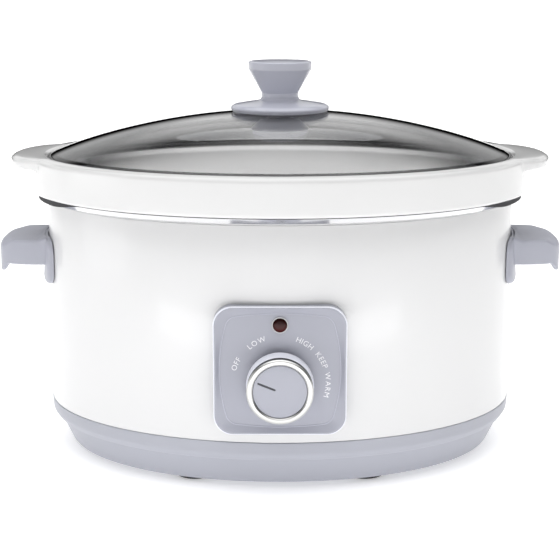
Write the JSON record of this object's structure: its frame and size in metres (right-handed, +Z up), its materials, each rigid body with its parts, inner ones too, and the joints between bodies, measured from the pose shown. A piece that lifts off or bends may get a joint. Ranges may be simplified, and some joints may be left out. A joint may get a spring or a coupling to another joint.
{
  "type": "slow cooker",
  "caption": "Oval slow cooker: white steel housing on a grey base, lift-out stoneware crock, domed glass lid with a knob, square front panel with a turning heat dial, and cup side handles.",
  "frame": {"origin": "middle of the bounding box's underside, on the surface that the feet stand on; the housing's own middle is 8 mm behind it", "axes": "+X to the right along the long way of the oval through both handles, -Y to the front where the dial is, +Z up"},
  "size_m": [0.4196, 0.294, 0.2895],
  "materials": {
    "white_paint": "glossy white stove enamel",
    "stoneware": "white gloss glaze",
    "grey_plastic": "satin lavender-grey moulding",
    "pale_plastic": "satin pale lavender moulding",
    "trim_steel": "polished",
    "well_metal": "brushed",
    "dial_trim": "pearl satin plating",
    "pointer_ink": "dark inlay",
    "lamp_red": "clear dark red lens",
    "lid_glass": "clear tempered glass",
    "foot_rubber": "matt",
    "clear_silicone": "translucent silicone",
    "fastener_steel": "zinc plated",
    "heater_steel": "dull band",
    "ceramic_body": "unglazed",
    "switch_phenolic": "moulded",
    "wire_sleeve": "glass-fibre sleeve"
  },
  "bodies": {
    "root": {"band_clamp_bolt": "fastener_steel", "band_clamp_nut": "fastener_steel", "base_pan": "grey_plastic", "centre_nut": "fastener_steel", "centre_stud": "fastener_steel", "control_panel": "grey_plastic", "cord_inlet_bush": "foot_rubber", "foot_front_left": "foot_rubber", "foot_front_right": "foot_rubber", "foot_rear_left": "foot_rubber", "foot_rear_right": "foot_rubber", "fuse_clip": "fastener_steel", "handle_left": "grey_plastic", "handle_right": "grey_plastic", "handle_screw_left_1": "fastener_steel", "handle_screw_left_2": "fastener_steel", "handle_screw_right_1": "fastener_steel", "handle_screw_right_2": "fastener_steel", "heat_shield": "well_metal", "heater_band": "heater_steel", "heating_well": "well_metal", "lamp_holder": "ceramic_body", "lamp_lens": "lamp_red", "outer_shell": "white_paint", "rim_trim_ring": "trim_steel", "rotary_switch": "switch_phenolic", "shield_spacer": "fastener_steel", "switch_nut": "fastener_steel", "terminal_block": "ceramic_body", "thermal_fuse": "fastener_steel", "wire_supply": "wire_sleeve", "wire_to_heater": "wire_sleeve", "wire_to_lamp": "wire_sleeve", "wire_to_switch": "wire_sleeve"},
    "crock": {"crock": "stoneware"},
    "lid": {"knob_retainer": "grey_plastic", "knob_screw": "fastener_steel", "lid_glass": "lid_glass", "lid_knob": "grey_plastic", "sealing_washer": "clear_silicone"},
    "dial": {"dial_cap": "grey_plastic", "dial_knob": "pale_plastic", "dial_pointer": "pointer_ink", "dial_ring": "dial_trim", "dial_shaft": "fastener_steel"}
  },
  "joints": [
    {"name": "crock_lift", "type": "slide", "parent": "root", "child": "crock", "axis": [0, 0, 1], "range_m": [0, 0.16]},
    {"name": "lid_lift", "type": "slide", "parent": "crock", "child": "lid", "axis": [0, 0, 1], "range_m": [0, 0.08]},
    {"name": "dial_turn", "type": "hinge", "parent": "root", "child": "dial", "pos_m": [0, -0.137, 0.0824], "axis": [0, 1, 0], "range_deg": [0, 148]}
  ]
}
